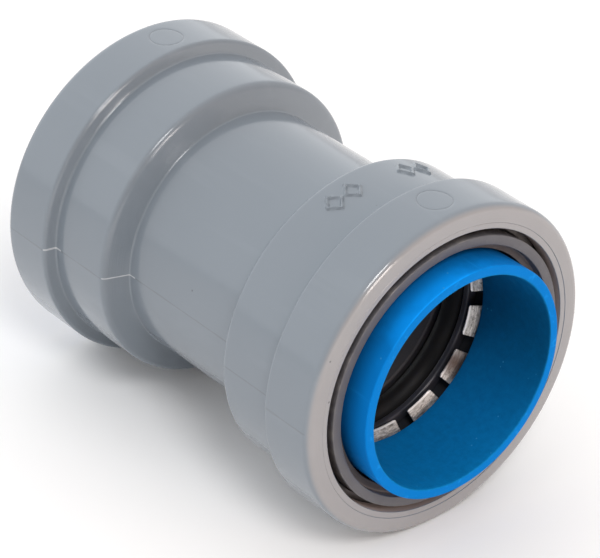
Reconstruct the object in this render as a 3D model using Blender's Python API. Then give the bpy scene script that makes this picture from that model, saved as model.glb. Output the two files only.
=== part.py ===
"""Push-fit coupling for round tube: a moulded body with the same push-in cartridge at both ends.

The axis of the coupling is X and its middle is the origin.  Each cartridge holds, from the mouth
inwards: a release collar that slides, a retaining cap, a split lock ring that keeps the cap in, a
toothed grip ring, a support ring and an O-ring.  Sizes are in metres.
"""
import math

import bmesh
import bpy

MM = 0.001
SEGMENTS = 42                      # sides of every turned piece
TEETH = 14                         # teeth on a grip ring, three sides of the circle to each
GAP = 0.3 * MM                     # clearance between pieces that touch

# Body, outside
HALF_LENGTH = 30.9 * MM
BELL_RADIUS = 23.18 * MM
STEP_RADIUS = 21.38 * MM
TUBE_RADIUS = 17.69 * MM
RIM_ROUND = 1.04 * MM

# Shoulders behind the bell and the step: a small corner, a larger belly, a sloping wall and a root fillet
CORNER_TURN = 50.0                 # degrees that the corner turns before the belly takes over
ROOT_FILLET = 0.3 * MM
BELL_END = 7.8 * MM                # depth where the corner starts
BELL_CORNER = 0.45 * MM
BELL_BELLY = 0.8 * MM
BELL_SLOPE = 79.0                  # degrees between the wall's normal and the radius
STEP_END = 17.9 * MM
STEP_CORNER = 0.75 * MM
STEP_BELLY = 1.6 * MM
STEP_SLOPE = 72.0

# Body, inside, with depths counted from the rim
MOUTH_RADIUS = 19.9 * MM
MOUTH_DEPTH = 9.0 * MM
SEAT_RADIUS = 18.5 * MM
SEAT_DEPTH = 17.27 * MM
BORE_RADIUS = 15.0 * MM
STOP_RADIUS = 13.9 * MM
STOP_DEPTH = 29.7 * MM
LEAD_IN = 0.25 * MM

# Split lock ring and the groove that it springs into
LOCK_INNER = 19.05 * MM
LOCK_OUTER = 20.6 * MM
LOCK_FRONT = 2.7 * MM
LOCK_THICKNESS = 1.0 * MM
LOCK_SPLIT = 5.0 * MM

# Retaining cap
CAP_LIP_OUTER = 19.03 * MM
CAP_LIP_INNER = 17.68 * MM
CAP_LIP_DEPTH = 2.2 * MM
CAP_NECK_RADIUS = 18.75 * MM
CAP_GUIDE_FRONT = 1.3 * MM
CAP_GUIDE_BACK = 5.4 * MM
CAP_CHAMBER_RADIUS = 17.5 * MM
CAP_NOSE_BACK = 9.4 * MM

# Release collar
COLLAR_OUTER = 16.4 * MM
COLLAR_STANDOUT = 3.07 * MM
COLLAR_BACK = 9.4 * MM
COLLAR_NOSE_RADIUS = 15.7 * MM
COLLAR_FLANGE_RADIUS = 17.2 * MM
COLLAR_FLANGE_THICKNESS = 1.2 * MM

# Grip ring
GRIP_RIM_INNER = 17.5 * MM
GRIP_THICKNESS = 0.5 * MM
TOOTH_FOLD_RADIUS = 15.75 * MM     # flat web outside, folded lip inside
TOOTH_TIP_RADIUS = 14.35 * MM
TOOTH_LEAN = 1.2 * MM              # how far a tooth's tip lies behind its web

# Support ring between the teeth and the O-ring
SUPPORT_RIM_INNER = 17.6 * MM
SUPPORT_FACE_OUTER = 16.6 * MM
SUPPORT_FACE_DEPTH = 12.1 * MM
SUPPORT_BACK = 13.03 * MM

# O-ring
O_RING_SECTION = 1.765 * MM        # radius of its round section
O_RING_SIDES = 12

GREY_PVC = ("grey_pvc", (0.30, 0.335, 0.375, 1.0), 0.32, 0.0)
DARK_PVC = ("dark_grey_pvc", (0.15, 0.14, 0.145, 1.0), 0.45, 0.0)
BLUE_NYLON = ("blue_nylon", (0.006, 0.235, 0.72, 1.0), 0.42, 0.0)
STAINLESS = ("stainless_steel", (0.62, 0.60, 0.58, 1.0), 0.30, 1.0)
SPRING_STEEL = ("spring_steel", (0.38, 0.37, 0.36, 1.0), 0.35, 1.0)
BLACK_NYLON = ("black_nylon", (0.012, 0.012, 0.016, 1.0), 0.35, 0.0)
BLACK_RUBBER = ("black_rubber", (0.010, 0.010, 0.011, 1.0), 0.55, 0.0)


def clear_scene():
    for item in list(bpy.data.objects):
        bpy.data.objects.remove(item, do_unlink=True)


def make_material(node_name, recipe):
    """One Principled material for one sub-part."""
    slot, colour, roughness, metallic = recipe
    material = bpy.data.materials.new(f"{slot}.{node_name}")
    material.use_nodes = True
    shader = material.node_tree.nodes["Principled BSDF"]
    shader.inputs["Base Color"].default_value = colour
    shader.inputs["Roughness"].default_value = roughness
    shader.inputs["Metallic"].default_value = metallic
    material.diffuse_color = colour
    return material


def add_object(name, mesh, recipe, end=None):
    item = bpy.data.objects.new(name, mesh)
    bpy.context.scene.collection.objects.link(item)
    mesh.materials.append(make_material(name, recipe))
    item.parent = end
    return item


def arc(radius, depth, size, start, stop, steps):
    """Points (radius, depth) round a corner centre; 0 degrees is outwards, 90 is deeper in."""
    points = []
    for index in range(steps + 1):
        angle = math.radians(start + (stop - start) * index / steps)
        points.append((radius + size * math.cos(angle), depth + size * math.sin(angle)))
    return points


def turn(name, profile, recipe, end):
    """Turn a closed outline of (radius, depth) points about the local Z axis.

    The outline runs down the outer side first.  Depth runs towards -Z.  The piece is turned by half a
    side, so that a flat side and not an edge faces straight down.
    """
    mesh = bpy.data.meshes.new(name)
    points = [(radius, 0.0, -depth) for radius, depth in profile]
    count = len(points)
    edges = [(index, (index + 1) % count) for index in range(count)]
    mesh.from_pydata(points, edges, [])
    item = add_object(name, mesh, recipe, end)
    item.rotation_euler.z = math.pi / SEGMENTS
    screw = item.modifiers.new("turn", "SCREW")
    screw.axis = "Z"
    screw.steps = SEGMENTS
    screw.render_steps = SEGMENTS
    screw.use_merge_vertices = True
    screw.merge_threshold = 0.00001
    screw.use_smooth_shade = True
    return item


def make_end(name, side):
    """Frame of one mouth: its Z axis points out of the coupling, and its origin is in the rim's plane."""
    end = bpy.data.objects.new(name, None)
    bpy.context.scene.collection.objects.link(end)
    end.location.x = side * HALF_LENGTH
    end.rotation_euler.y = side * math.pi / 2
    return end


def shoulder(radius, foot_radius, start, corner, belly, slope):
    """Outline from one radius down to a smaller one, beginning at the depth where the corner starts."""
    turned, lean = math.radians(CORNER_TURN), math.radians(slope)
    points = arc(radius - corner, start, corner, 0, CORNER_TURN, 2)
    belly_radius = radius - corner - (belly - corner) * math.cos(turned)
    belly_depth = start - (belly - corner) * math.sin(turned)
    points += arc(belly_radius, belly_depth, belly, CORNER_TURN, slope, 2)[1:]
    wall_radius, wall_depth = points[-1]
    drop = wall_radius - foot_radius - ROOT_FILLET * (1 - math.cos(lean))
    root_depth = wall_depth + drop / math.tan(lean) + ROOT_FILLET * math.sin(lean)
    return points + arc(foot_radius + ROOT_FILLET, root_depth, ROOT_FILLET, slope - 180, -180, 2)


def body_outside():
    """Outer outline from the rim to the middle, as (radius, depth)."""
    outline = arc(BELL_RADIUS - RIM_ROUND, RIM_ROUND, RIM_ROUND, -90, 0, 3)
    outline += shoulder(BELL_RADIUS, STEP_RADIUS, BELL_END, BELL_CORNER, BELL_BELLY, BELL_SLOPE)
    outline += shoulder(STEP_RADIUS, TUBE_RADIUS, STEP_END, STEP_CORNER, STEP_BELLY, STEP_SLOPE)
    return outline


def body_inside():
    """Inner outline from the rim to the middle: mouth, lock groove, cartridge seat, bore and stop."""
    groove_radius = LOCK_OUTER + GAP
    groove_front = LOCK_FRONT - GAP
    groove_back = LOCK_FRONT + LOCK_THICKNESS + GAP
    return [
        (MOUTH_RADIUS + LEAD_IN, 0.0),
        (MOUTH_RADIUS, LEAD_IN),
        (MOUTH_RADIUS, groove_front),
        (groove_radius, groove_front),
        (groove_radius, groove_back),
        (MOUTH_RADIUS, groove_back),
        (MOUTH_RADIUS, MOUTH_DEPTH),
        (SEAT_RADIUS, MOUTH_DEPTH),
        (SEAT_RADIUS, SEAT_DEPTH),
        (BORE_RADIUS + LEAD_IN, SEAT_DEPTH),
        (BORE_RADIUS, SEAT_DEPTH + LEAD_IN),
        (BORE_RADIUS, STOP_DEPTH),
        (STOP_RADIUS, STOP_DEPTH),
    ]


def mirrored(outline):
    """The same outline for the other end, in reverse order."""
    return [(radius, 2 * HALF_LENGTH - depth) for radius, depth in reversed(outline)]


def make_body(end):
    outside = body_outside()
    inside = body_inside()
    bore = mirrored(inside)[::-1] + inside[::-1]
    return turn("coupling_body", outside + mirrored(outside) + bore, GREY_PVC, end)


def make_collar(prefix, end):
    """Sliding sleeve: it stands out of the mouth, and its flange keeps it behind the cap's guide."""
    flange_front = CAP_GUIDE_BACK + GAP
    flange_back = flange_front + COLLAR_FLANGE_THICKNESS
    nose_start = COLLAR_BACK - (COLLAR_OUTER - COLLAR_NOSE_RADIUS)
    profile = [
        (COLLAR_OUTER, -COLLAR_STANDOUT),
        (COLLAR_OUTER, flange_front),
        (COLLAR_FLANGE_RADIUS, flange_front),
        (COLLAR_FLANGE_RADIUS, flange_back),
        (COLLAR_OUTER, flange_back),
        (COLLAR_OUTER, nose_start),
        (COLLAR_NOSE_RADIUS, COLLAR_BACK),
        (BORE_RADIUS, COLLAR_BACK),
        (BORE_RADIUS, -COLLAR_STANDOUT),
    ]
    return turn(f"{prefix}_release_collar", profile, BLUE_NYLON, end)


def make_cap(prefix, end):
    """Retaining cap: lip flush with the rim, shoulder under the lock ring, nose on the grip ring."""
    shoulder_radius = MOUTH_RADIUS - GAP
    shoulder_front = LOCK_FRONT + LOCK_THICKNESS + GAP
    shoulder_back = MOUTH_DEPTH - GAP
    nose_radius = SEAT_RADIUS - GAP
    guide_radius = COLLAR_OUTER + GAP
    profile = [
        (CAP_LIP_OUTER, 0.0),
        (CAP_LIP_OUTER, CAP_LIP_DEPTH),
        (CAP_NECK_RADIUS, CAP_LIP_DEPTH),
        (CAP_NECK_RADIUS, shoulder_front),
        (shoulder_radius, shoulder_front),
        (shoulder_radius, shoulder_back),
        (nose_radius, shoulder_back),
        (nose_radius, CAP_NOSE_BACK),
        (CAP_CHAMBER_RADIUS, CAP_NOSE_BACK),
        (CAP_CHAMBER_RADIUS, CAP_GUIDE_BACK),
        (guide_radius, CAP_GUIDE_BACK),
        (guide_radius, CAP_GUIDE_FRONT),
        (CAP_LIP_INNER, CAP_GUIDE_FRONT),
        (CAP_LIP_INNER, 0.0),
    ]
    return turn(f"{prefix}_retaining_cap", profile, DARK_PVC, end)


def make_lock_ring(prefix, end):
    """Flat split ring, sprung into the mouth's groove in front of the cap's shoulder."""
    profile = [
        (LOCK_OUTER, LOCK_FRONT),
        (LOCK_OUTER, LOCK_FRONT + LOCK_THICKNESS),
        (LOCK_INNER, LOCK_FRONT + LOCK_THICKNESS),
        (LOCK_INNER, LOCK_FRONT),
    ]
    ring = turn(f"{prefix}_lock_ring", profile, SPRING_STEEL, end)
    cutter_mesh = bpy.data.meshes.new(f"{prefix}_lock_split")
    block = bmesh.new()
    bmesh.ops.create_cube(block, size=1.0)
    bmesh.ops.scale(block, vec=(LOCK_SPLIT, 3 * LOCK_SPLIT, 3 * LOCK_THICKNESS), verts=block.verts)
    block.to_mesh(cutter_mesh)
    block.free()
    cutter = bpy.data.objects.new(f"{prefix}_lock_split", cutter_mesh)
    bpy.context.scene.collection.objects.link(cutter)
    cutter.parent = end
    cutter.location = (0.0, LOCK_OUTER, -LOCK_FRONT)
    cutter.hide_render = True
    cutter.display_type = "WIRE"
    split = ring.modifiers.new("split", "BOOLEAN")
    split.operation = "DIFFERENCE"
    split.solver = "EXACT"
    split.object = cutter
    return ring


def make_grip_ring(prefix, end):
    """Steel ring whose teeth have a flat web and a lip folded back; two sides of every three carry a tooth."""
    front = CAP_NOSE_BACK + GAP
    back = front + GRIP_THICKNESS
    bevel = GRIP_THICKNESS / 3
    section = [
        (SEAT_RADIUS - GAP, front),
        (SEAT_RADIUS - GAP, back),
        (GRIP_RIM_INNER, back),
        (GRIP_RIM_INNER, front),
        (TOOTH_FOLD_RADIUS, back),
        (TOOTH_TIP_RADIUS, back + TOOTH_LEAN - bevel),
        (TOOTH_TIP_RADIUS - bevel, front + TOOTH_LEAN),
        (TOOTH_FOLD_RADIUS + bevel, front),
    ]
    steel = bmesh.new()
    rings = []
    for index in range(SEGMENTS):
        angle = 2 * math.pi * index / SEGMENTS
        across, up = math.cos(angle), math.sin(angle)
        rings.append([steel.verts.new((r * across, r * up, -depth)) for r, depth in section])
    sides_per_tooth = SEGMENTS // TEETH
    for index in range(SEGMENTS):
        here, there = rings[index], rings[(index + 1) % SEGMENTS]
        rim_walls = [(0, 1), (1, 2), (3, 0)]
        is_slot = index % sides_per_tooth == 1
        walls = rim_walls + ([(2, 3)] if is_slot else [(2, 4), (4, 5), (5, 6), (6, 7), (7, 3)])
        for first, second in walls:
            steel.faces.new((here[first], here[second], there[second], there[first]))
        if is_slot:
            steel.faces.new([here[corner] for corner in (2, 4, 5, 6, 7, 3)])
            steel.faces.new([there[corner] for corner in (3, 7, 6, 5, 4, 2)])
    bare_tips = [vert for vert in steel.verts if not vert.link_faces]
    bmesh.ops.delete(steel, geom=bare_tips, context="VERTS")
    bmesh.ops.recalc_face_normals(steel, faces=steel.faces)
    mesh = bpy.data.meshes.new(f"{prefix}_grip_ring")
    steel.to_mesh(mesh)
    steel.free()
    return add_object(f"{prefix}_grip_ring", mesh, STAINLESS, end)


def make_support_ring(prefix, end):
    """Black ring behind the teeth: it backs the grip ring's rim and keeps the teeth off the O-ring."""
    rim_front = CAP_NOSE_BACK + GRIP_THICKNESS + 2 * GAP
    outer = SEAT_RADIUS - GAP
    profile = [
        (outer, rim_front),
        (outer, SUPPORT_BACK),
        (BORE_RADIUS, SUPPORT_BACK),
        (BORE_RADIUS, SUPPORT_FACE_DEPTH + LEAD_IN),
        (BORE_RADIUS + LEAD_IN, SUPPORT_FACE_DEPTH),
        (SUPPORT_FACE_OUTER, SUPPORT_FACE_DEPTH),
        (SUPPORT_RIM_INNER, rim_front),
    ]
    return turn(f"{prefix}_support_ring", profile, BLACK_NYLON, end)


def make_o_ring(prefix, end):
    """Round-section seal between the support ring and the body's shoulder."""
    centre_radius = SEAT_RADIUS - GAP - O_RING_SECTION
    centre_depth = SEAT_DEPTH - GAP - O_RING_SECTION
    round_section = arc(centre_radius, centre_depth, O_RING_SECTION, -90, 270, O_RING_SIDES)
    return turn(f"{prefix}_o_ring", round_section[:-1], BLACK_RUBBER, end)


def make_cartridge(prefix, end):
    make_collar(prefix, end)
    make_cap(prefix, end)
    make_lock_ring(prefix, end)
    make_grip_ring(prefix, end)
    make_support_ring(prefix, end)
    make_o_ring(prefix, end)


def main():
    clear_scene()
    near_end = make_end("near_end", 1)
    far_end = make_end("far_end", -1)
    make_body(near_end)
    make_cartridge("near", near_end)
    make_cartridge("far", far_end)


main()
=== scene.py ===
"""Looks of the push-fit coupling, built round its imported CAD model.

The tube axis is X, the near mouth faces +X, and the part lies on its bells with +Z up.  Sizes are in metres.
Angles round the axis are counted from +Z towards +Y.
"""

import math

import bpy
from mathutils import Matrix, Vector, noise


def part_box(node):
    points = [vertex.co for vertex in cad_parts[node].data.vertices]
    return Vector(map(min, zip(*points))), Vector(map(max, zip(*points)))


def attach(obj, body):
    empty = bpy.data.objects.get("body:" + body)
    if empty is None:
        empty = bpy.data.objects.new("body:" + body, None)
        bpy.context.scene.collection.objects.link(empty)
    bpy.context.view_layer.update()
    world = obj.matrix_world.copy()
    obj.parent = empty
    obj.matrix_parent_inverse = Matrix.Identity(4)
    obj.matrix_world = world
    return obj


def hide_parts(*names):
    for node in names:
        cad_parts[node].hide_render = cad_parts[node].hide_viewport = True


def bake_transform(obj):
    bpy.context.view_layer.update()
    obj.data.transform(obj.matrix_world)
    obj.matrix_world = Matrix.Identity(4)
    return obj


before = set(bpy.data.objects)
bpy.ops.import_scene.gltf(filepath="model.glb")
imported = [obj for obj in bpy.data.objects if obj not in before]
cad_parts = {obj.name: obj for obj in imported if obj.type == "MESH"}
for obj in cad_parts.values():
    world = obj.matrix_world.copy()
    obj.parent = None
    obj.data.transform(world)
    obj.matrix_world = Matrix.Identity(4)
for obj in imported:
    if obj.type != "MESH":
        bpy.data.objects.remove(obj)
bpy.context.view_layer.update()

MM = 0.001
HOUSING = "housing"

# Measured on the frame
BODY_LOW, BODY_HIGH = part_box("coupling_body")
HALF_LENGTH = BODY_HIGH[0]
BELL_RADIUS = BODY_HIGH[1]
FLOOR_HEIGHT = BODY_LOW[2]

# Body, outside, with depths counted from the rim
STEP_RADIUS = 21.38 * MM
TUBE_RADIUS = 17.69 * MM
RIM_ROUND = 1.04 * MM
CORNER_TURN = 50.0                 # degrees a shoulder turns on its small corner before its larger belly
BELL_SHOULDER = (7.80 * MM, 0.45 * MM, 0.80 * MM, 79.0)    # start, corner and belly radii, slope of the wall
STEP_SHOULDER = (17.90 * MM, 0.75 * MM, 1.60 * MM, 72.0)
SHOULDER_ROOT = 0.30 * MM

# Body, inside
MOUTH_RADIUS = 19.9 * MM
MOUTH_DEPTH = 9.0 * MM
SEAT_RADIUS = 18.5 * MM
SEAT_DEPTH = 17.27 * MM
BORE_RADIUS = 15.0 * MM
STOP_RADIUS = 13.9 * MM
STOP_DEPTH = 29.7 * MM
LOCK_GROOVE = (20.9 * MM, 2.4 * MM, 4.0 * MM)      # radius, front and back
RIM_LINE_RADIUS = 20.74 * MM
RIM_LINE_SIZE = 0.05 * MM

# Marks moulded into the body
PIN_MARK_DEPTH = 4.5 * MM          # from the rim to the middle of the ejector pin's circle
PIN_MARK_RADIUS = 2.27 * MM
PIN_LINE_DEPTH = 0.045 * MM
PIN_LINE_WIDTH = 0.17 * MM
PIN_MARK_SINK = 0.02 * MM
SYMBOL_DEPTH = 14.9 * MM
SYMBOL_SIZE = 1.55 * MM            # about half the length of a raised lozenge
SYMBOL_ANGLES = (-15.2, 16.8)
SYMBOL_HEIGHT = 0.27 * MM
PARTING_ANGLES = (-90.0, 90.0)
FLASH_HEIGHT = 0.035 * MM
FLASH_WIDTH = 0.13 * MM
FLASH_WANDER = 0.10 * MM
FLASH_FEET = (9.0 * MM, 20.2 * MM)     # depths of the shoulders' feet, where the flash is white

# Cartridge pieces
CAP_LIP_OUTER = 19.03 * MM
CAP_LIP_INNER = 17.68 * MM
CAP_LIP_BACK = 2.2 * MM
CAP_NECK_RADIUS = 18.75 * MM       # under the lock ring
CAP_SHELF_DEPTH = 1.3 * MM         # from the lip's face to the shelf inside it
CAP_GUIDE_RADIUS = 16.7 * MM       # round the collar
CAP_GUIDE_BACK = 5.4 * MM
CAP_BODY_RADIUS = 19.6 * MM
CAP_BODY_DEPTHS = (4.0 * MM, 8.7 * MM)
CAP_SPIGOT = (18.2 * MM, 17.5 * MM, 9.4 * MM)      # radii outside and inside, and its end
COLLAR_OUTER = 16.4 * MM
COLLAR_STANDOUT = 3.07 * MM
COLLAR_FLANGE_RADIUS = 17.2 * MM
COLLAR_FLANGE_DEPTHS = (5.7 * MM, 6.9 * MM)
COLLAR_TAPER = (15.7 * MM, 8.7 * MM)       # radius at its end, and depth where it starts
COLLAR_BACK = 9.4 * MM
LOCK_RADII = (20.6 * MM, 19.05 * MM)
LOCK_DEPTHS = (2.7 * MM, 3.7 * MM)
LOCK_HALF_GAP = 7.2                # degrees
TEETH = 14
GRIP_FRONT = 9.7 * MM
GRIP_THICKNESS = 0.4 * MM
GRIP_OUTER = 18.2 * MM
GRIP_RIM_INNER = 17.5 * MM
TOOTH_FOLD = 15.75 * MM            # radius where a tooth starts to lean
TOOTH_TIP = 14.35 * MM
TOOTH_LEAN = 1.2 * MM
SUPPORT_OUTER = 18.2 * MM
SUPPORT_DEPTHS = (10.5 * MM, 12.1 * MM, 13.03 * MM)        # at the teeth's root, at their tips, and its back
SUPPORT_CONE = (17.6 * MM, 16.6 * MM)      # radii between which it falls away behind the leaning teeth
O_RING_OUTER = 18.2 * MM
O_RING_BACK = 16.97 * MM
O_RING_SECTION = 1.765 * MM        # radius of its round section
TURN_STEPS = 168                   # sides of a turned piece


def turned_point(side, radius, depth, angle):
    """World place of a point at this depth from one rim; side is +1 at the near end and -1 at the far end."""
    return Vector((side * (HALF_LENGTH - depth), radius * math.sin(angle), radius * math.cos(angle)))


def arc(radius, depth, size, start, stop, steps):
    """Points (radius, depth) round a corner centre; 0 degrees is outwards, 90 is deeper in."""
    points = []
    for index in range(steps + 1):
        angle = math.radians(start + (stop - start) * index / steps)
        points.append((radius + size * math.cos(angle), depth + size * math.sin(angle)))
    return points


def shoulder(radius, foot_radius, shape):
    """Drop from one radius to a smaller one: small corner, larger belly, sloping wall and a root fillet."""
    start, corner, belly, slope = shape
    points = arc(radius - corner, start, corner, 0, CORNER_TURN, 6)
    shift = belly - corner
    turned = math.radians(CORNER_TURN)
    belly_radius = radius - corner - shift * math.cos(turned)
    belly_depth = start - shift * math.sin(turned)
    points += arc(belly_radius, belly_depth, belly, CORNER_TURN, slope, 6)[1:]
    lean = math.radians(slope)
    root_radius = foot_radius + SHOULDER_ROOT
    drop = points[-1][0] - (root_radius - SHOULDER_ROOT * math.cos(lean))
    root_depth = points[-1][1] + drop / math.tan(lean) + SHOULDER_ROOT * math.sin(lean)
    return points + arc(root_radius, root_depth, SHOULDER_ROOT, slope - 180, -180, 5)


def divided(outline, spacing, closed=True, fine_zones=()):
    """The same outline with its straight runs cut into equal pieces.

    A fine zone is (first depth, last depth, spacing there).
    """
    stops = sorted(edge for zone in fine_zones for edge in zone[:2])
    runs = []
    ends = outline[1:] + ([outline[0]] if closed else [])
    for first, second in zip(outline, ends):
        inner = [edge for edge in stops if first[1] < edge < second[1]]
        for edge in inner:
            share = (edge - first[1]) / (second[1] - first[1])
            middle = (first[0] + (second[0] - first[0]) * share, edge)
            runs.append((first, middle))
            first = middle
        runs.append((first, second))
    result = []
    for first, second in runs:
        depth = (first[1] + second[1]) / 2
        step = min([spacing] + [zone[2] for zone in fine_zones if zone[0] < depth < zone[1]])
        pieces = max(1, math.ceil(math.dist(first, second) / step - 0.01))
        for index in range(pieces):
            share = index / pieces
            result.append(tuple(a + (b - a) * share for a, b in zip(first, second)))
    if not closed:
        result.append(outline[-1])
    return result


def rounded(outline, size, steps=3):
    """A closed outline with each corner turned into a small curve.

    A corner given as (radius, depth, size) has its own size.
    """
    result = []
    count = len(outline)
    for index, corner in enumerate(outline):
        here = Vector(corner[:2])
        before = Vector(outline[index - 1][:2])
        after = Vector(outline[(index + 1) % count][:2])
        reach = corner[2] if len(corner) > 2 else size
        reach = min(reach, 0.45 * (here - before).length, 0.45 * (here - after).length)
        start = here + (before - here).normalized() * reach
        stop = here + (after - here).normalized() * reach
        for step in range(steps + 1):
            t = step / steps
            point = start * (1 - t) ** 2 + here * 2 * t * (1 - t) + stop * t ** 2
            result.append((point.x, point.y))
    return result


def finish_mesh(name, verts, faces, body, nodes, material, sharp=40.0):
    """Object from points and faces, normals out and shaded smooth, that stands for CAD nodes.

    It rides on the body, if one is given.
    """
    mesh = bpy.data.meshes.new(name)
    mesh.from_pydata(verts, [], faces)
    mesh.validate()
    piece = bpy.data.objects.new(name, mesh)
    bpy.context.scene.collection.objects.link(piece)
    bpy.context.view_layer.objects.active = piece
    bpy.ops.object.mode_set(mode="EDIT")
    bpy.ops.mesh.select_all(action="SELECT")
    bpy.ops.mesh.normals_make_consistent(inside=False)
    bpy.ops.object.mode_set(mode="OBJECT")
    mesh.shade_smooth()
    mesh.set_sharp_from_angle(angle=math.radians(sharp))
    mesh.materials.append(material)
    if body:
        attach(piece, body)
    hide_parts(*nodes)
    return piece


def turned_faces(rings, points):
    """Faces between rings of points, the last ring joined to the first."""
    faces = []
    for ring in range(rings):
        after = (ring + 1) % rings
        for point in range(points):
            following = (point + 1) % points
            faces.append((ring * points + point, ring * points + following,
                          after * points + following, after * points + point))
    return faces


def strip_faces(sections, points):
    """Faces over a row of sections, closed at both ends."""
    last = (sections - 1) * points
    faces = [tuple(range(points)), tuple(range(last, last + points))]
    for start in range(0, last, points):
        for point in range(points):
            following = (point + 1) % points
            faces.append((start + point, start + following,
                          start + points + following, start + points + point))
    return faces


def turn(name, outline, side, body, node, material):
    """Turn a closed outline of (radius, depth) about X."""
    verts = []
    for index in range(TURN_STEPS):
        angle = 2 * math.pi * index / TURN_STEPS
        verts += [turned_point(side, radius, depth, angle) for radius, depth in outline]
    faces = turned_faces(TURN_STEPS, len(outline))
    return finish_mesh(name, verts, faces, body, [node], material)


# ---------------------------------------------------------------- body

def body_outside(with_symbols):
    """Outer outline from the rim to the middle, its straight runs cut finely where there are marks."""
    outline = arc(BELL_RADIUS - RIM_ROUND, RIM_ROUND, RIM_ROUND, -90, 0, 9)
    outline += shoulder(BELL_RADIUS, STEP_RADIUS, BELL_SHOULDER)
    outline += shoulder(STEP_RADIUS, TUBE_RADIUS, STEP_SHOULDER)
    reach = PIN_MARK_RADIUS + 0.5 * MM
    zones = [(PIN_MARK_DEPTH - reach, PIN_MARK_DEPTH + reach, 0.24 * MM)]
    if with_symbols:
        reach = SYMBOL_SIZE + 0.4 * MM
        zones.append((SYMBOL_DEPTH - reach, SYMBOL_DEPTH + reach, 0.16 * MM))
    return divided(outline, 0.9 * MM, closed=False, fine_zones=zones)


def body_inside():
    """Inner outline from the middle out to the rim, ending with the fine line round the rim's face."""
    groove_radius, groove_front, groove_back = LOCK_GROOVE
    edge = 0.22 * MM
    lip = 0.12 * MM
    line = RIM_LINE_SIZE
    corners = [
        (STOP_RADIUS, HALF_LENGTH),
        (STOP_RADIUS, STOP_DEPTH + edge),
        (STOP_RADIUS + edge, STOP_DEPTH),
        (BORE_RADIUS, STOP_DEPTH),
        (BORE_RADIUS, SEAT_DEPTH + edge),
        (BORE_RADIUS + edge, SEAT_DEPTH),
        (SEAT_RADIUS, SEAT_DEPTH),
        (SEAT_RADIUS, MOUTH_DEPTH),
        (MOUTH_RADIUS, MOUTH_DEPTH),
        (MOUTH_RADIUS, groove_back),
        (groove_radius, groove_back),
        (groove_radius, groove_front),
        (MOUTH_RADIUS, groove_front),
    ]
    outline = divided(corners, 2.0 * MM, closed=False)
    outline += arc(MOUTH_RADIUS + lip, lip + line, lip, 180, 270, 4)
    outline += [
        (MOUTH_RADIUS + 1.5 * lip, line),
        (RIM_LINE_RADIUS - 3 * line, line),
        (RIM_LINE_RADIUS - 1.5 * line, line),
        (RIM_LINE_RADIUS - 0.5 * line, 1.8 * line),
        (RIM_LINE_RADIUS + 0.5 * line, 0.0),
        (RIM_LINE_RADIUS + 2 * line, 0.0),
    ]
    return outline


def body_angles():
    """Angles round the body, close together where the marks and the mould's parting line are."""
    fine = [math.radians(-30 + 0.4 * index) for index in range(151)]
    for centre in PARTING_ANGLES:
        fine += [math.radians(centre + 0.25 * index) for index in range(-6, 7)]
    coarse = [math.radians(-180 + 2.0 * index) for index in range(180)]
    spare = math.radians(1.1)
    kept = [angle for angle in coarse if min(abs(angle - other) for other in fine) > spare]
    return sorted(fine + kept)


def smooth_step(low, high, value):
    """0 at low and 1 at high, with a smooth slope between them."""
    share = min(1.0, max(0.0, (value - low) / (high - low)))
    return share * share * (3 - 2 * share)


def lozenges(across, along):
    """1 on the outlines of two lozenges that stand side by side, falling softly to 0."""
    width, length = 0.78 * SYMBOL_SIZE, 0.95 * SYMBOL_SIZE
    beside = abs(abs(across) - 0.98 * SYMBOL_SIZE)
    off_line = (beside / width + abs(along) / length - 1) * width * length / math.hypot(width, length)
    return smooth_step(0.24 * MM, 0.11 * MM, abs(off_line))


def outer_relief(radius, depth, angle):
    """How far the outer surface stands up or down from its plain turned shape."""
    turned = (angle + math.pi) % (2 * math.pi) - math.pi
    from_near = depth if depth < HALF_LENGTH else 2 * HALF_LENGTH - depth
    lift = 0.0
    if radius > BELL_RADIUS - 0.01 * MM:
        across = turned * radius
        away = math.hypot(across, from_near - PIN_MARK_DEPTH)
        lift -= PIN_LINE_DEPTH * math.exp(-((away - PIN_MARK_RADIUS) / PIN_LINE_WIDTH) ** 2)
        lift -= PIN_MARK_SINK * smooth_step(PIN_MARK_RADIUS, PIN_MARK_RADIUS - 0.3 * MM, away)
    if abs(radius - STEP_RADIUS) < 0.01 * MM and depth < HALF_LENGTH:
        for centre in SYMBOL_ANGLES:
            across = (turned - math.radians(centre)) * radius
            lift += SYMBOL_HEIGHT * lozenges(across, depth - SYMBOL_DEPTH)
    for centre in PARTING_ANGLES:
        wander = FLASH_WANDER * noise.noise(Vector((depth * 900, centre, 0.0)))
        across = (turned - math.radians(centre)) * radius - wander
        ragged = 0.6 + 0.8 * noise.noise(Vector((depth * 2600, centre, 5.0)))
        lift += FLASH_HEIGHT * ragged * math.exp(-(across / FLASH_WIDTH) ** 2)
    return lift


def make_body(material):
    """The whole moulding in one turned mesh, marks only on its outside."""
    near_outside = body_outside(True)
    far_outside = body_outside(False)
    inside = body_inside()
    outer_count = len(near_outside) + len(far_outside)
    far = 2 * HALF_LENGTH
    outline = near_outside + [(radius, far - depth) for radius, depth in reversed(far_outside)]
    outline += [(radius, far - depth) for radius, depth in reversed(inside)] + inside[1:]
    angles = body_angles()
    verts = []
    for angle in angles:
        for index, (radius, depth) in enumerate(outline):
            lift = outer_relief(radius, depth, angle) if index < outer_count else 0.0
            verts.append(turned_point(1, radius + lift, depth, angle))
    faces = turned_faces(len(angles), len(outline))
    return finish_mesh("body_shell", verts, faces, HOUSING, ["coupling_body"], material)


# ---------------------------------------------------------------- cartridge

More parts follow.
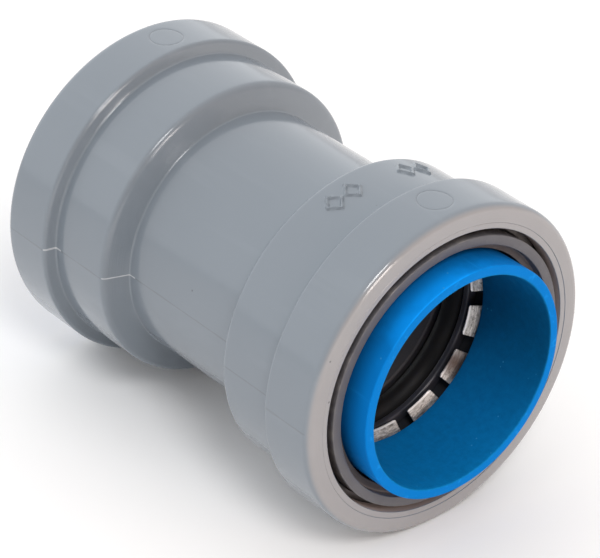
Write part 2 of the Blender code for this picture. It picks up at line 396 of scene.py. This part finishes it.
def make_collar(prefix, side, material):
    """Sleeve with a flange behind the cap's guide and a tapered end that pushes the teeth."""
    flange_front, flange_back = COLLAR_FLANGE_DEPTHS
    end_radius, taper_start = COLLAR_TAPER
    outline = [
        (COLLAR_OUTER, -COLLAR_STANDOUT, 0.22 * MM),
        (COLLAR_OUTER, flange_front),
        (COLLAR_FLANGE_RADIUS, flange_front),
        (COLLAR_FLANGE_RADIUS, flange_back),
        (COLLAR_OUTER, flange_back),
        (COLLAR_OUTER, taper_start),
        (end_radius, COLLAR_BACK),
        (BORE_RADIUS, COLLAR_BACK),
        (BORE_RADIUS, -COLLAR_STANDOUT, 0.16 * MM),
    ]
    outline = divided(rounded(outline, 0.12 * MM), 1.2 * MM)
    return turn(f"{prefix}_collar_sleeve", outline, side, f"{prefix}_collar",
                f"{prefix}_release_collar", material)


def make_cap(prefix, side, material):
    """Lip, neck under the lock ring, body filling the mouth, spigot on the grip ring, collar's guide."""
    body_front, body_back = CAP_BODY_DEPTHS
    spigot_outer, spigot_inner, spigot_back = CAP_SPIGOT
    outline = [
        (CAP_LIP_OUTER, 0.0, 0.14 * MM),
        (CAP_LIP_OUTER, CAP_LIP_BACK),
        (CAP_NECK_RADIUS, CAP_LIP_BACK),
        (CAP_NECK_RADIUS, body_front),
        (CAP_BODY_RADIUS, body_front),
        (CAP_BODY_RADIUS, body_back),
        (spigot_outer, body_back),
        (spigot_outer, spigot_back),
        (spigot_inner, spigot_back),
        (spigot_inner, CAP_GUIDE_BACK),
        (CAP_GUIDE_RADIUS, CAP_GUIDE_BACK),
        (CAP_GUIDE_RADIUS, CAP_SHELF_DEPTH),
        (CAP_LIP_INNER, CAP_SHELF_DEPTH),
        (CAP_LIP_INNER, 0.0, 0.14 * MM),
    ]
    outline = divided(rounded(outline, 0.08 * MM), 1.2 * MM)
    return turn(f"{prefix}_cap_ring", outline, side, HOUSING, f"{prefix}_retaining_cap", material)


def make_lock_ring(prefix, side, material):
    """Flat split ring with its gap towards +Y."""
    outer, inner = LOCK_RADII
    front, back = LOCK_DEPTHS
    outline = rounded([(outer, front), (outer, back), (inner, back), (inner, front)], 0.15 * MM)
    half_gap = math.radians(LOCK_HALF_GAP)
    steps = 150
    verts = []
    for index in range(steps + 1):
        angle = math.pi / 2 + half_gap + (2 * math.pi - 2 * half_gap) * index / steps
        verts += [turned_point(side, radius, depth, angle) for radius, depth in outline]
    faces = strip_faces(steps + 1, len(outline))
    return finish_mesh(f"{prefix}_lock_wire", verts, faces, HOUSING, [f"{prefix}_lock_ring"], material)


def make_grip_rim(prefix, side, material):
    back = GRIP_FRONT + GRIP_THICKNESS
    outline = rounded([(GRIP_OUTER, GRIP_FRONT), (GRIP_OUTER, back), (GRIP_RIM_INNER, back),
                       (GRIP_RIM_INNER, GRIP_FRONT)], 0.06 * MM)
    return turn(f"{prefix}_grip_rim", outline, side, HOUSING, f"{prefix}_grip_ring", material)


def tooth_section(reach):
    """Outline of a tooth from its root to its tip and back; reach is its share of the whole lean."""
    root = GRIP_RIM_INNER + 0.1 * MM
    tip = TOOTH_FOLD + (TOOTH_TIP - TOOTH_FOLD) * reach
    fall = GRIP_FRONT + TOOTH_LEAN * reach
    back = GRIP_FRONT + GRIP_THICKNESS
    corners = [(root, GRIP_FRONT), (TOOTH_FOLD + 0.3 * GRIP_THICKNESS, GRIP_FRONT),
               (tip - 0.35 * GRIP_THICKNESS, fall), (tip, fall + 0.45 * GRIP_THICKNESS),
               (TOOTH_FOLD, back), (root, back)]
    points = []
    for index, pieces in enumerate((4, 4, 1, 4, 4, 1)):
        first, second = corners[index], corners[(index + 1) % len(corners)]
        for step in range(pieces):
            points.append(tuple(a + (b - a) * step / pieces for a, b in zip(first, second)))
    return points


def make_grip_tooth(prefix, side, number, material):
    """One tooth, two thirds of its share of the circle wide."""
    steps = 12
    pitch = 2 * math.pi / TEETH
    middle = pitch * number
    corner_start, corner_loss = 0.82, 0.07
    verts = []
    for step in range(steps + 1):
        share = -1 + 2 * step / steps
        past_corner = max(0.0, (abs(share) - corner_start) / (1 - corner_start))
        section = tooth_section(1.0 - past_corner ** 2 * corner_loss)
        verts += [turned_point(side, radius, depth, middle + share * pitch / 3) for radius, depth in section]
    faces = strip_faces(steps + 1, len(verts) // (steps + 1))
    piece = finish_mesh(f"{prefix}_grip_tooth_{number + 1}", verts, faces, None, [f"{prefix}_grip_ring"],
                        material, 30.0)
    bevel = piece.modifiers.new("edge", "BEVEL")
    bevel.width = 0.06 * MM
    bevel.segments = 2
    bevel.limit_method = "ANGLE"
    bevel.angle_limit = math.radians(40)
    bpy.ops.object.modifier_apply(modifier=bevel.name)
    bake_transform(piece)


def make_support_ring(prefix, side, material):
    """Ring behind the teeth, coned so that they can bend, with its inner front corner well rounded."""
    root_depth, tip_depth, back = SUPPORT_DEPTHS
    cone_outer, cone_inner = SUPPORT_CONE
    outline = [
        (SUPPORT_OUTER, root_depth),
        (SUPPORT_OUTER, back),
        (BORE_RADIUS, back, 0.25 * MM),
        (BORE_RADIUS, tip_depth, 0.55 * MM),
        (cone_inner, tip_depth),
        (cone_outer, root_depth),
    ]
    outline = divided(rounded(outline, 0.12 * MM, 5), 1.0 * MM)
    return turn(f"{prefix}_support_washer", outline, side, HOUSING, f"{prefix}_support_ring", material)


def make_o_ring(prefix, side, material):
    radius, depth = O_RING_OUTER - O_RING_SECTION, O_RING_BACK - O_RING_SECTION
    outline = arc(radius, depth, O_RING_SECTION, -90, 270, 32)[:-1]
    return turn(f"{prefix}_o_ring_seal", outline, side, HOUSING, f"{prefix}_o_ring", material)


# ---------------------------------------------------------------- materials

class Nodes:
    """Short calls for building a material out of nodes, over places measured on the object."""

    def __init__(self, name):
        self.material = bpy.data.materials.new(name)
        self.material.use_nodes = True
        self.tree = self.material.node_tree
        self.shader = self.tree.nodes["Principled BSDF"]
        place = self.tree.nodes.new("ShaderNodeTexCoord")
        self.place = place.outputs["Object"]

    def link(self, value, socket):
        if isinstance(value, bpy.types.NodeSocket):
            self.tree.links.new(value, socket)
        else:
            socket.default_value = value

    def stretched(self, scale):
        node = self.tree.nodes.new("ShaderNodeMapping")
        node.inputs["Scale"].default_value = scale
        self.link(self.place, node.inputs["Vector"])
        return node.outputs["Vector"]

    def noise(self, scale, detail=3.0, rough=0.5, vector=None):
        node = self.tree.nodes.new("ShaderNodeTexNoise")
        node.inputs["Scale"].default_value = scale
        node.inputs["Detail"].default_value = detail
        node.inputs["Roughness"].default_value = rough
        self.link(vector or self.place, node.inputs["Vector"])
        return node.outputs["Fac"]

    def cells(self, scale):
        node = self.tree.nodes.new("ShaderNodeTexVoronoi")
        node.inputs["Scale"].default_value = scale
        self.link(self.place, node.inputs["Vector"])
        return node.outputs["Distance"]

    def math(self, operation, first, second=0.0):
        node = self.tree.nodes.new("ShaderNodeMath")
        node.operation = operation
        self.link(first, node.inputs[0])
        self.link(second, node.inputs[1])
        return node.outputs[0]

    def map(self, value, low, high, to_low=0.0, to_high=1.0):
        node = self.tree.nodes.new("ShaderNodeMapRange")
        node.interpolation_type = "SMOOTHSTEP"
        self.link(value, node.inputs["Value"])
        for name, number in (("From Min", low), ("From Max", high), ("To Min", to_low), ("To Max", to_high)):
            node.inputs[name].default_value = number
        return node.outputs["Result"]

    def mix(self, share, first, second, blend="MIX"):
        node = self.tree.nodes.new("ShaderNodeMix")
        node.data_type = "RGBA"
        node.blend_type = blend
        self.link(share, node.inputs["Factor"])
        self.link(first, node.inputs["A"])
        self.link(second, node.inputs["B"])
        return node.outputs["Result"]

    def parts(self, vector):
        node = self.tree.nodes.new("ShaderNodeSeparateXYZ")
        self.link(vector, node.inputs[0])
        return node.outputs

    def joined(self, first, second):
        """Vector with these two as its first parts."""
        node = self.tree.nodes.new("ShaderNodeCombineXYZ")
        self.link(first, node.inputs[0])
        self.link(second, node.inputs[1])
        return node.outputs[0]

    def normal(self):
        return self.tree.nodes.new("ShaderNodeNewGeometry").outputs["Normal"]

    def along(self):
        """Distance from the body's middle, counted along the axis."""
        return self.math("ABSOLUTE", self.parts(self.place)[0])

    def around(self):
        """Angle round the axis, in turns, and the distance from the axis."""
        _, y, z = self.parts(self.place)
        angle = self.math("DIVIDE", self.math("ARCTAN2", y, z), 2 * math.pi)
        return angle, self.length(y, z)

    def length(self, first, second):
        squares = self.math("ADD", self.math("MULTIPLY", first, first), self.math("MULTIPLY", second, second))
        return self.math("SQRT", squares)

    def band(self, value, centre, half_width):
        """1 where the value is at the centre, falling softly to 0."""
        away = self.math("ABSOLUTE", self.math("SUBTRACT", value, centre))
        return self.map(away, 0.0, half_width, 1.0, 0.0)

    def bump(self, height, distance, strength=1.0, under=None):
        node = self.tree.nodes.new("ShaderNodeBump")
        node.inputs["Strength"].default_value = strength
        node.inputs["Distance"].default_value = distance
        self.link(height, node.inputs["Height"])
        if under:
            self.link(under, node.inputs["Normal"])
        return node.outputs["Normal"]

    def set(self, name, value):
        self.link(value, self.shader.inputs[name])


def grey_plastic():
    """Glossy moulded grey, warm on the rim's face, with flow lines, pin marks, flash, and painted light and
    shade in the mouth and bore.
    """
    n = Nodes("grey_pvc_look")
    along = n.along()
    angle, radius = n.around()
    face_x = n.math("ABSOLUTE", n.parts(n.normal())[0])
    colour = n.mix(n.noise(55, 4), (0.181, 0.211, 0.243, 1), (0.199, 0.229, 0.262, 1))
    flow = n.noise(1.0, 3, 0.5, n.stretched((30, 260, 260)))
    colour = n.mix(n.map(flow, 0.55, 0.75, 0.0, 0.2), colour, (0.240, 0.272, 0.306, 1))
    rim = n.mix(n.noise(300, 4), (0.260, 0.258, 0.266, 1), (0.282, 0.280, 0.288, 1))
    at_end = n.map(along, HALF_LENGTH - 1.0 * MM, HALF_LENGTH - 0.1 * MM)
    colour = n.mix(n.math("MULTIPLY", at_end, n.map(face_x, 0.35, 0.95)), colour, rim)
    speck = n.math("MULTIPLY", n.map(n.cells(260), 0.035, 0.055, 1.0, 0.0), n.map(n.noise(90, 1), 0.55, 0.60))
    colour = n.mix(n.math("MULTIPLY", speck, 0.6), colour, (0.05, 0.05, 0.06, 1))

    # circle left by an ejector pin, its fine groove given a dark line of painted shade
    across = n.math("MULTIPLY", angle, 2 * math.pi * BELL_RADIUS)
    beside = n.math("SUBTRACT", along, HALF_LENGTH - PIN_MARK_DEPTH)
    away = n.length(across, beside)
    pin = n.band(away, PIN_MARK_RADIUS, 0.13 * MM)
    colour = n.mix(n.math("MULTIPLY", pin, 0.5), colour, (0.10, 0.12, 0.14, 1))

    # flash where the mould's halves met: white on the shoulders, a faint dark line between them
    wander = n.math("MULTIPLY", n.math("SUBTRACT", n.noise(160, 2), 0.5), 0.5 * MM)
    height = n.math("ABSOLUTE", n.parts(n.place)[2])
    off_seam = n.math("SUBTRACT", height, n.math("ABSOLUTE", wander))
    outside = n.map(radius, SEAT_RADIUS - 1.2 * MM, SEAT_RADIUS - 0.9 * MM)
    seam = n.math("MULTIPLY", n.band(off_seam, 0.0, 0.11 * MM), outside)
    dark_line = n.math("MULTIPLY", seam, n.map(face_x, 0.3, 0.5, 0.30, 0.0))
    colour = n.mix(dark_line, colour, (0.10, 0.10, 0.11, 1))
    bell_foot, step_foot = (n.band(along, HALF_LENGTH - depth, 1.1 * MM) for depth in FLASH_FEET)
    feet = n.map(n.math("MAXIMUM", bell_foot, step_foot), 0.2, 0.6)
    flash = n.math("MULTIPLY", seam, n.math("MAXIMUM", n.map(face_x, 0.35, 0.6), feet))
    flash = n.math("MULTIPLY", flash, n.map(along, HALF_LENGTH - 5 * MM, HALF_LENGTH - 6 * MM))
    colour = n.mix(n.math("MULTIPLY", flash, 0.8), colour, (0.62, 0.63, 0.65, 1))

    # mouth with painted light and shade: pale near the rim and dark deeper in as far as the seal's seat, and
    # beyond it the bore painted dark as shade
    mouth = n.math("MULTIPLY", n.map(radius, RIM_LINE_RADIUS, MOUTH_RADIUS + 0.2 * MM),
                   n.map(along, HALF_LENGTH - 0.12 * MM, HALF_LENGTH - 0.3 * MM))
    before_bore = n.map(along, 12.3 * MM, 12.9 * MM)
    mouth = n.math("MULTIPLY", mouth, before_bore)
    front = n.map(along, HALF_LENGTH - 6.0 * MM, HALF_LENGTH - 4.2 * MM)
    colour = n.mix(mouth, colour, n.mix(front, (0.026, 0.021, 0.020, 1), (0.38, 0.32, 0.31, 1)))
    # painted shade: the bore beyond the seal's seat is dark
    bore = n.map(radius, BORE_RADIUS + 1.2 * MM, BORE_RADIUS + 0.8 * MM)
    colour = n.mix(bore, colour, (0.075, 0.067, 0.070, 1))
    n.set("Base Color", colour)
    n.shader.inputs["IOR"].default_value = 1.6
    rough = n.map(n.noise(140, 5, 0.6), 0.3, 0.7, 0.10, 0.18)
    n.set("Roughness", n.math("ADD", rough, n.math("MULTIPLY", n.math("MAXIMUM", mouth, bore), 0.5)))
    waves = n.bump(n.noise(90, 2), 0.06 * MM, 0.35)
    grain = n.bump(n.noise(3500, 3), 0.004 * MM, 0.5, waves)
    drawn = n.bump(n.noise(1.0, 2, 0.4, n.stretched((60, 1500, 1500))), 0.008 * MM, 0.5, grain)
    across_rings = n.math("MULTIPLY", n.math("ADD", along, radius), 5000.0)
    cut = n.noise(1.0, 3, 0.6, n.joined(across_rings, n.math("MULTIPLY", angle, 14.0)))
    rings = n.bump(n.math("MULTIPLY", cut, n.map(face_x, 0.1, 0.5)), 0.03 * MM, 0.6, drawn)
    n.set("Normal", n.bump(pin, -0.06 * MM, 0.6, rings))
    return n.material


def dark_plastic():
    """Satin dark grey with pale patchy edges, painted near black down its outer wall as shade in the gap,
    painted paler brown on the wall inside the lip as light there, and brownish on the shelf.
    """
    n = Nodes("dark_pvc_look")
    _, radius = n.around()
    colour = n.mix(n.noise(260, 4), (0.078, 0.076, 0.084, 1), (0.102, 0.100, 0.109, 1))
    # paler, patchy colour along both edges of the lip
    outer_edge, inner_edge = (n.band(radius, edge, 0.16 * MM) for edge in (CAP_LIP_OUTER, CAP_LIP_INNER))
    pale_edges = n.math("MULTIPLY", n.math("MAXIMUM", outer_edge, inner_edge), n.map(n.noise(420, 3), 0.45, 0.7))
    colour = n.mix(n.math("MULTIPLY", pale_edges, 0.5), colour, (0.24, 0.225, 0.215, 1))
    below = n.map(n.along(), HALF_LENGTH - 0.15 * MM, HALF_LENGTH - 0.60 * MM)
    # painted shade: near black down the lip's outer wall, in the gap by the body's rim
    outer_wall = n.math("MULTIPLY", below, n.map(radius, CAP_LIP_OUTER - 0.4 * MM, CAP_LIP_OUTER - 0.2 * MM))
    colour = n.mix(n.math("MULTIPLY", outer_wall, 0.5), colour, (0.012, 0.010, 0.011, 1))
    # painted light: the wall inside the lip paler and browner than the cap's own grey, the shelf under it
    # brownish
    inner_wall = n.math("MULTIPLY", below, n.map(radius, CAP_LIP_INNER + 0.3 * MM, CAP_LIP_INNER + 0.1 * MM))
    up_wall = n.map(radius, CAP_LIP_INNER - 0.3 * MM, CAP_LIP_INNER)
    shelf = n.mix(up_wall, (0.088, 0.076, 0.075, 1), (0.20, 0.165, 0.15, 1))
    colour = n.mix(inner_wall, colour, shelf)
    n.set("Base Color", colour)
    rough = n.map(n.noise(500, 4), 0.3, 0.7, 0.36, 0.55)
    n.set("Roughness", n.math("ADD", rough, n.math("MULTIPLY", inner_wall, 0.35)))
    n.set("Normal", n.bump(n.noise(2600, 4), 0.02 * MM, 0.6))
    return n.material


def blue_plastic():
    """Deep satin blue, with a painted sheen paler on its upper outside, painted shade darker at its foot and
    in the bore, and dust.
    """
    n = Nodes("blue_nylon_look")
    angle, radius = n.around()
    colour = n.mix(n.noise(210, 5, 0.6), (0.002, 0.154, 0.490, 1), (0.002, 0.176, 0.545, 1))
    drag = n.noise(1.0, 3, 0.5, n.stretched((70, 900, 900)))
    colour = n.mix(n.map(drag, 0.60, 0.74, 0.0, 0.6), colour, (0.008, 0.240, 0.68, 1))
    # painted sheen: paler patches on the upper outside, round the side towards -Y
    patches = n.math("ADD", n.band(angle, -0.055, 0.13), n.map(n.noise(230, 3), 0.3, 0.7, -0.25, 0.25))
    outside = n.map(radius, COLLAR_OUTER - 0.2 * MM, COLLAR_OUTER - 0.05 * MM)
    painted_sheen = n.math("MULTIPLY", outside, n.map(patches, 0.1, 1.0))
    colour = n.mix(painted_sheen, colour, (0.003, 0.262, 0.81, 1))
    # painted shade: darker towards the foot, by the cap's lip
    foot = n.map(n.along(), HALF_LENGTH + 2.2 * MM, HALF_LENGTH - 0.3 * MM, 0.0, 0.54)
    colour = n.mix(n.math("MULTIPLY", outside, foot), colour, (0.002, 0.070, 0.215, 1))
    # painted shade inside the bore, deepest on the +Y side
    inside = n.map(radius, BORE_RADIUS + 0.25 * MM, BORE_RADIUS + 0.05 * MM)
    shade = n.mix(n.band(angle, 0.24, 0.19), (0.003, 0.168, 0.435, 1), (0.002, 0.082, 0.205, 1))
    colour = n.mix(inside, colour, shade)
    grain = n.mix(n.noise(1100, 5, 0.7), (0.72, 0.72, 0.72, 1), (1.28, 1.28, 1.28, 1))
    colour = n.mix(inside, colour, n.mix(1.0, colour, grain, "MULTIPLY"))
    dust = n.math("MULTIPLY", n.map(n.cells(650), 0.06, 0.10, 1.0, 0.0), n.map(n.noise(200, 1), 0.57, 0.62))
    colour = n.mix(n.math("MULTIPLY", dust, 0.5), colour, (0.05, 0.32, 0.62, 1))
    n.set("Base Color", colour)
    n.set("Roughness", n.map(n.noise(600, 4), 0.3, 0.7, 0.40, 0.58))
    n.shader.inputs["Specular IOR Level"].default_value = 0.02
    fine = n.bump(n.noise(3200, 3), 0.008 * MM, 0.5)
    n.set("Normal", n.bump(drag, 0.02 * MM, 0.3, fine))
    return n.material


def stainless():
    """Stamped strip: rolling lines round the ring, dark grain, a painted highlight on the tips and brown
    painted reflections on some teeth.
    """
    n = Nodes("stainless_look")
    angle, radius = n.around()
    rolling = n.joined(n.math("MULTIPLY", angle, 75.0), n.math("MULTIPLY", radius, 5000.0))
    lines = n.noise(1.0, 4, 0.7, rolling)
    colour = n.mix(n.map(lines, 0.34, 0.66), (0.25, 0.235, 0.22, 1), (0.72, 0.69, 0.655, 1))
    colour = n.mix(n.map(n.noise(2600, 4), 0.54, 0.68, 0.0, 0.6), colour, (0.12, 0.11, 0.10, 1))
    # painted reflections of a dark thing: brown bands across some teeth
    faint_painted_reflection = n.math("MULTIPLY", n.band(angle, 0.427, 0.045), 0.35)
    painted_reflection = n.math("MAXIMUM", n.band(angle, 0.352, 0.036), faint_painted_reflection)
    # painted highlight: the tooth tips near white
    tip_highlight = n.map(radius, TOOTH_TIP + 0.15 * MM, TOOTH_TIP + 0.05 * MM)
    colour = n.mix(n.math("MULTIPLY", tip_highlight, 0.8), colour, (0.95, 0.93, 0.91, 1))
    colour = n.mix(n.math("MULTIPLY", painted_reflection, 0.92), colour, (0.100, 0.064, 0.052, 1))
    n.set("Base Color", colour)
    n.shader.inputs["Metallic"].default_value = 0.75
    n.set("Roughness", n.map(lines, 0.3, 0.7, 0.34, 0.52))
    n.set("Normal", n.bump(lines, 0.03 * MM, 0.6))
    return n.material


def spring_steel():
    """Dull dark strip."""
    n = Nodes("spring_steel_look")
    colour = n.mix(n.noise(500, 4), (0.085, 0.075, 0.072, 1), (0.130, 0.115, 0.108, 1))
    n.set("Base Color", colour)
    n.shader.inputs["Metallic"].default_value = 1.0
    n.set("Roughness", n.map(n.noise(900, 4), 0.3, 0.7, 0.30, 0.48))
    n.set("Normal", n.bump(n.noise(2200, 3), 0.01 * MM, 0.4))
    return n.material


def black_nylon():
    """Satin black at the bore, matt and painted darker outside it as shade in the slots between the teeth."""
    n = Nodes("black_nylon_look")
    _, radius = n.around()
    colour = n.mix(n.noise(300, 4), (0.038, 0.037, 0.046, 1), (0.060, 0.057, 0.066, 1))
    # painted shade in the slots between the teeth
    outer = n.map(radius, SUPPORT_CONE[1] - 0.4 * MM, SUPPORT_CONE[1])
    n.set("Base Color", n.mix(outer, colour, (0.010, 0.011, 0.015, 1)))
    rough = n.map(n.noise(500, 4), 0.3, 0.7, 0.28, 0.42)
    n.set("Roughness", n.math("ADD", rough, n.math("MULTIPLY", outer, 0.5)))
    n.set("Normal", n.bump(n.noise(2400, 3), 0.01 * MM, 0.4))
    return n.material


def black_rubber():
    """Greased rubber: matt under uneven smears of lubricant."""
    n = Nodes("black_rubber_look")
    n.set("Base Color", n.mix(n.noise(260, 4), (0.010, 0.009, 0.009, 1), (0.020, 0.018, 0.018, 1)))
    smear = n.noise(1.0, 3, 0.5, n.stretched((300, 120, 120)))
    n.set("Roughness", n.map(smear, 0.35, 0.65, 0.50, 0.75))
    n.shader.inputs["Specular IOR Level"].default_value = 0.25
    n.set("Normal", n.bump(n.noise(1800, 4), 0.02 * MM, 0.4))
    return n.material


# ---------------------------------------------------------------- stage

CAMERA_AZIMUTH = 47.93             # degrees from -Y towards +X
CAMERA_ELEVATION = 32.24
CAMERA_ROLL = 2.79
CAMERA_DISTANCE = 0.39684
CAMERA_TARGET = Vector((1.664, 0.745, -1.167)) * MM
CAMERA_LENS = 180.4                # on a sensor 36 wide

FLOOR_GAP = 0.02 * MM              # from the CAD body down to the floor
WORLD_BEHIND = (1.60, 1.63, 1.66, 1)      # the room's light towards -X
WORLD_AHEAD = (0.29, 0.24, 0.21, 1)       # and towards +X


def direction(azimuth, elevation):
    """Unit vector from the part towards this azimuth and elevation."""
    turn_by, rise = math.radians(azimuth), math.radians(elevation)
    return Vector((math.sin(turn_by) * math.cos(rise), -math.cos(turn_by) * math.cos(rise), math.sin(rise)))


def aim(item, target, roll=0.0):
    """Turn a camera or lamp towards the target, then by a roll in degrees."""
    item.rotation_euler = (target - item.location).to_track_quat("-Z", "Y").to_euler()
    item.rotation_euler.rotate_axis("Z", math.radians(roll))


def make_camera():
    data = bpy.data.cameras.new("camera")
    data.sensor_width = 36.0
    data.lens = CAMERA_LENS
    data.clip_start = 0.01
    data.clip_end = 20.0
    camera = bpy.data.objects.new("camera", data)
    bpy.context.scene.collection.objects.link(camera)
    camera.location = CAMERA_TARGET + direction(CAMERA_AZIMUTH, CAMERA_ELEVATION) * CAMERA_DISTANCE
    aim(camera, CAMERA_TARGET, CAMERA_ROLL)
    bpy.context.scene.camera = camera


def make_light(name, azimuth, elevation, size, power, colour=(1, 1, 1)):
    """Disk lamp at one metre, aimed at the part."""
    data = bpy.data.lights.new(name, "AREA")
    data.shape = "DISK"
    data.size = size
    data.energy = power
    data.color = colour
    lamp = bpy.data.objects.new(name, data)
    bpy.context.scene.collection.objects.link(lamp)
    lamp.location = direction(azimuth, elevation)
    aim(lamp, Vector((0, 0, 0)))
    return lamp


def make_floor():
    mesh = bpy.data.meshes.new("floor")
    reach = 6.0
    corners = [(-reach, -reach, 0), (reach, -reach, 0), (reach, reach, 0), (-reach, reach, 0)]
    mesh.from_pydata(corners, [], [(0, 1, 2, 3)])
    floor = bpy.data.objects.new("floor", mesh)
    bpy.context.scene.collection.objects.link(floor)
    floor.location.z = FLOOR_HEIGHT - FLOOR_GAP
    n = Nodes("floor_paper")
    n.set("Base Color", (0.93, 0.93, 0.93, 1))
    n.set("Roughness", 0.9)
    n.shader.inputs["Specular IOR Level"].default_value = 0.0
    mesh.materials.append(n.material)


def make_world():
    """Soft room, bright and cool behind the part, dim and warm ahead of its near mouth."""
    world = bpy.data.worlds.new("studio")
    bpy.context.scene.world = world
    world.use_nodes = True
    tree = world.node_tree
    split = tree.nodes.new("ShaderNodeSeparateXYZ")
    tree.links.new(tree.nodes.new("ShaderNodeTexCoord").outputs["Generated"], split.inputs[0])
    share = tree.nodes.new("ShaderNodeMapRange")
    share.inputs["From Min"].default_value = -1.0
    tree.links.new(split.outputs["X"], share.inputs["Value"])
    blend = tree.nodes.new("ShaderNodeMix")
    blend.data_type = "RGBA"
    tree.links.new(share.outputs["Result"], blend.inputs["Factor"])
    blend.inputs["A"].default_value = WORLD_BEHIND
    blend.inputs["B"].default_value = WORLD_AHEAD
    tree.links.new(blend.outputs["Result"], tree.nodes["Background"].inputs["Color"])


def main():
    make_camera()
    make_world()
    make_light("key", 62.5, 49.5, 0.32, 3.0)
    make_light("side", 101.5, 3.0, 0.20, 0.7, (1.0, 0.90, 0.82))
    warm_wall = make_light("warm_wall", 104.0, 10.0, 0.80, 2.9, (1.0, 0.72, 0.54))
    warm_wall.visible_glossy = False
    make_light("window", 94.3, 11.9, 0.25, 1.7, (1.0, 0.93, 0.90))
    make_floor()
    bpy.context.scene.view_settings.view_transform = "Standard"
    dark, blue, steel = dark_plastic(), blue_plastic(), stainless()
    spring, nylon, rubber = spring_steel(), black_nylon(), black_rubber()
    make_body(grey_plastic())
    for prefix, side in (("near", 1), ("far", -1)):
        make_collar(prefix, side, blue)
        make_cap(prefix, side, dark)
        make_lock_ring(prefix, side, spring)
        make_grip_rim(prefix, side, steel)
        for number in range(TEETH):
            make_grip_tooth(prefix, side, number, steel)
        make_support_ring(prefix, side, nylon)
        make_o_ring(prefix, side, rubber)


main()
